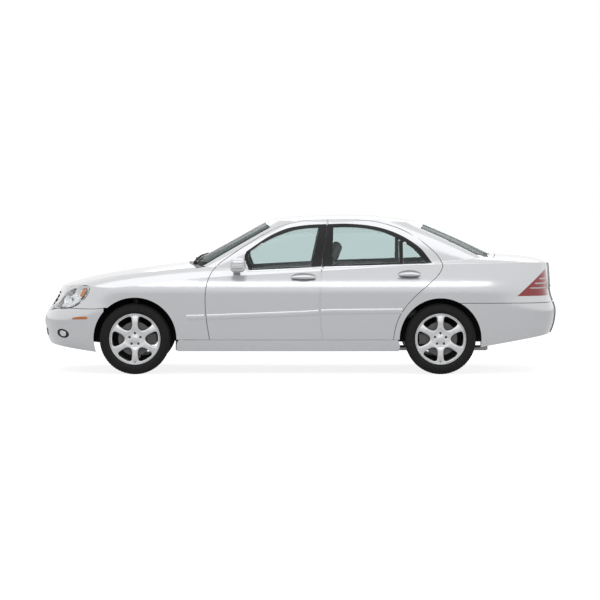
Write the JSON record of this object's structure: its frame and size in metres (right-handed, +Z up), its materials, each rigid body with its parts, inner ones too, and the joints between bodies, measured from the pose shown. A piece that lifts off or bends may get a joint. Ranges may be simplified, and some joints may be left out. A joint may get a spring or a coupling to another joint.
{
  "type": "luxury sedan",
  "caption": "Four-door luxury sedan with opening doors, bonnet and boot lid, steered front wheels and a full cabin.",
  "frame": {"origin": "on the ground under the centre of the bounding box", "axes": "front of the car toward -X, its left side toward -Y, +Z up"},
  "size_m": [5.0463, 2.17, 1.5333],
  "materials": {
    "paint": "metallic silver, glossy",
    "underbody": "matt underseal",
    "liner": "matt",
    "trim_black": "satin",
    "bright_trim": "polished",
    "lamp_glass": "clear",
    "lamp_red": "glossy",
    "tinted_glass": "lightly tinted",
    "interior_dark": "grained",
    "leather": "grey leather",
    "leather_dark": "black leather",
    "engine_alloy": "as cast",
    "chassis_steel": "dull",
    "exhaust_steel": "dull",
    "tyre": "matt rubber",
    "alloy": "silver lacquer"
  },
  "bodies": {
    "body": {"floor_pan": "underbody", "body_side_left": "paint", "body_side_right": "paint", "front_fenders": "paint", "roof_panel": "paint", "front_bumper": "paint", "rear_bumper": "paint", "headlamps": "lamp_glass", "tail_lamps": "lamp_red", "windscreen": "tinted_glass", "rear_window": "tinted_glass", "cowl": "trim_black", "rear_deck": "paint", "front_arch_liner_left": "liner", "front_arch_liner_right": "liner", "rear_arch_liner_left": "liner", "rear_arch_liner_right": "liner", "sill_covers": "paint", "dashboard": "interior_dark", "front_seats": "leather", "rear_seat": "leather", "engine_block": "engine_alloy", "boot_floor": "underbody", "front_subframe": "chassis_steel", "rear_subframe": "chassis_steel", "exhaust": "exhaust_steel"},
    "bonnet": {"bonnet": "paint", "grille": "bright_trim"},
    "boot_lid": {"boot_lid": "paint"},
    "steering_wheel": {"steering_wheel": "leather_dark"},
    "front_door_left": {"front_door_left": "paint", "front_glass_left": "tinted_glass", "mirror_left": "paint"},
    "rear_door_left": {"rear_door_left": "paint", "rear_glass_left": "tinted_glass"},
    "front_knuckle_left": {"front_knuckle_left": "chassis_steel"},
    "front_wheel_left": {"front_tyre_left": "tyre", "front_rim_left": "alloy"},
    "rear_wheel_left": {"rear_tyre_left": "tyre", "rear_rim_left": "alloy"},
    "front_door_right": {"front_door_right": "paint", "front_glass_right": "tinted_glass", "mirror_right": "paint"},
    "rear_door_right": {"rear_door_right": "paint", "rear_glass_right": "tinted_glass"},
    "front_knuckle_right": {"front_knuckle_right": "chassis_steel"},
    "front_wheel_right": {"front_tyre_right": "tyre", "front_rim_right": "alloy"},
    "rear_wheel_right": {"rear_tyre_right": "tyre", "rear_rim_right": "alloy"}
  },
  "joints": [
    {"name": "steer_left", "type": "hinge", "parent": "body", "child": "front_knuckle_left", "pos_m": [-1.6015, -0.74, 0.344], "axis": [0, 0, 1], "range_deg": [-35, 35]},
    {"name": "steer_right", "type": "hinge", "parent": "body", "child": "front_knuckle_right", "pos_m": [-1.6015, 0.74, 0.344], "axis": [0, 0, 1], "range_deg": [-35, 35]},
    {"name": "steering_wheel_turn", "type": "hinge", "parent": "body", "child": "steering_wheel", "pos_m": [-0.47, -0.37, 0.905], "axis": [0.9135, 0, 0.4067], "range_deg": [-540, 540]},
    {"name": "front_wheel_left_spin", "type": "hinge", "parent": "front_knuckle_left", "child": "front_wheel_left", "pos_m": [-1.6015, -0.785, 0.344], "axis": [0, 1, 0], "continuous": true},
    {"name": "front_wheel_right_spin", "type": "hinge", "parent": "front_knuckle_right", "child": "front_wheel_right", "pos_m": [-1.6015, 0.785, 0.344], "axis": [0, 1, 0], "continuous": true},
    {"name": "rear_wheel_left_spin", "type": "hinge", "parent": "body", "child": "rear_wheel_left", "pos_m": [1.3635, -0.785, 0.344], "axis": [0, 1, 0], "continuous": true},
    {"name": "rear_wheel_right_spin", "type": "hinge", "parent": "body", "child": "rear_wheel_right", "pos_m": [1.3635, 0.785, 0.344], "axis": [0, 1, 0], "continuous": true},
    {"name": "front_door_left_hinge", "type": "hinge", "parent": "body", "child": "front_door_left", "pos_m": [-0.9175, -0.932, 0.7], "axis": [0, 0, -1], "range_deg": [0, 68]},
    {"name": "front_door_right_hinge", "type": "hinge", "parent": "body", "child": "front_door_right", "pos_m": [-0.9175, 0.932, 0.7], "axis": [0, 0, 1], "range_deg": [0, 68]},
    {"name": "rear_door_left_hinge", "type": "hinge", "parent": "body", "child": "rear_door_left", "pos_m": [0.1965, -0.94, 0.7], "axis": [0, 0, -1], "range_deg": [0, 68]},
    {"name": "rear_door_right_hinge", "type": "hinge", "parent": "body", "child": "rear_door_right", "pos_m": [0.1965, 0.94, 0.7], "axis": [0, 0, 1], "range_deg": [0, 68]},
    {"name": "bonnet_hinge", "type": "hinge", "parent": "body", "child": "bonnet", "pos_m": [-1.004, 0, 1.045], "axis": [0, 1, 0], "range_deg": [0, 50]},
    {"name": "boot_lid_hinge", "type": "hinge", "parent": "body", "child": "boot_lid", "pos_m": [1.884, 0, 1.15], "axis": [0, -1, 0], "range_deg": [0, 70]}
  ],
  "couplings": [
    {"joint": "steer_right", "follows": "steer_left", "ratio": 1},
    {"joint": "steering_wheel_turn", "follows": "steer_left", "ratio": 15.4}
  ]
}
